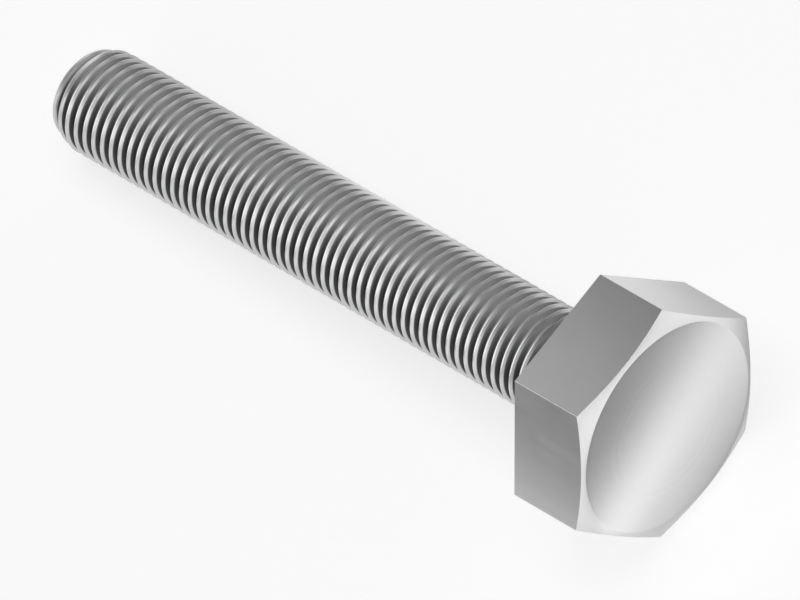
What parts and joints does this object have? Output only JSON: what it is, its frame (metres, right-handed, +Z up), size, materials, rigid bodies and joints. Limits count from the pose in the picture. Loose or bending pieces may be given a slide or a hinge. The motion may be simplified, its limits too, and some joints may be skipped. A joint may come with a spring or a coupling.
{
  "type": "hex head screw",
  "caption": "Hex head screw with a chamfered hexagon, a washer face and neck under the head, a fine metric thread along the whole shank and a tapered tip.",
  "frame": {"origin": "on the level surface that the screw lies on, below the middle of its box", "axes": "+Z up from that surface, +X along the screw from its head to its tip, whose axis leans 5.1 degrees down towards the tip, and +Y across it"},
  "size_m": [0.1322, 0.0438, 0.0392],
  "materials": {
    "steel": "bright bare steel, satin from machining, with no plating colour"
  },
  "bodies": {
    "root": {"hex_head_screw": "steel"}
  },
  "joints": []
}
